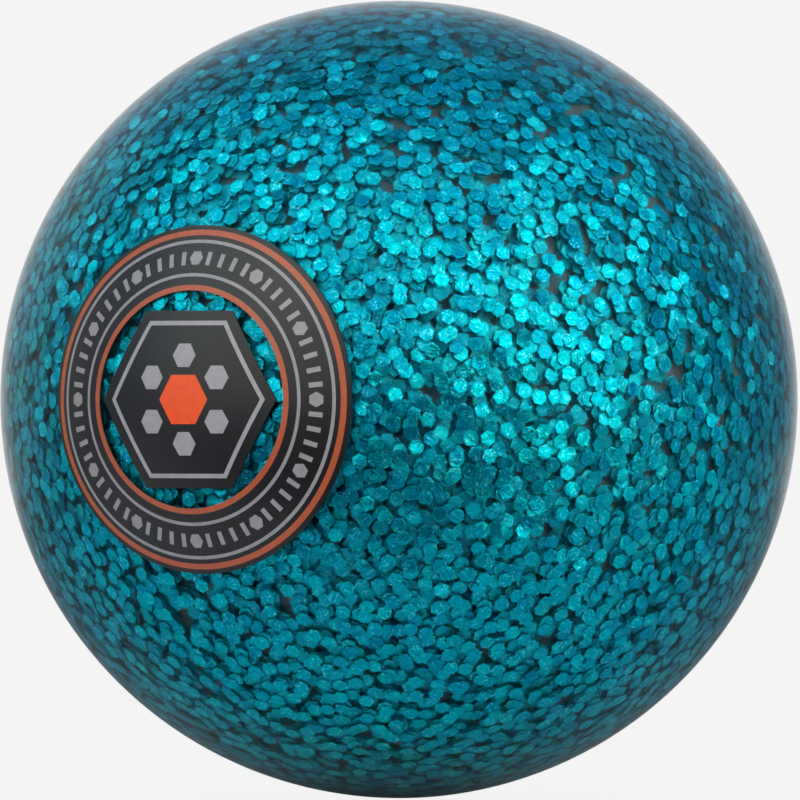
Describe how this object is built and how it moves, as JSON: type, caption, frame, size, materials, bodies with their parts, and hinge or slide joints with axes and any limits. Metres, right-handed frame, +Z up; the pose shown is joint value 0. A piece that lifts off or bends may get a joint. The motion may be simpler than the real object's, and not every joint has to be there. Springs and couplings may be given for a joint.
{
  "type": "field hockey ball",
  "caption": "Smooth field hockey ball: round core in a clear cover full of teal six-sided foil flakes, with a round printed badge.",
  "frame": {"origin": "centre of the ball", "axes": "-Y out through the middle of the badge, +Z up with the badge upright, +X to the right of the badge seen from in front"},
  "size_m": [0.073, 0.0731, 0.073],
  "materials": {
    "core_composite": "dark grey cork and rubber composite, matt",
    "clear_cover": "clear moulded PVC, smooth and glossy",
    "teal_foil": "lightly crinkled teal metallised film",
    "black_ink": "satin black print",
    "orange_ink": "satin orange print",
    "grey_ink": "satin grey print"
  },
  "bodies": {
    "root": {"core": "core_composite", "cover": "clear_cover", "glitter_flakes": "teal_foil", "badge_ground": "black_ink", "badge_orange": "orange_ink", "badge_grey": "grey_ink"}
  },
  "joints": []
}
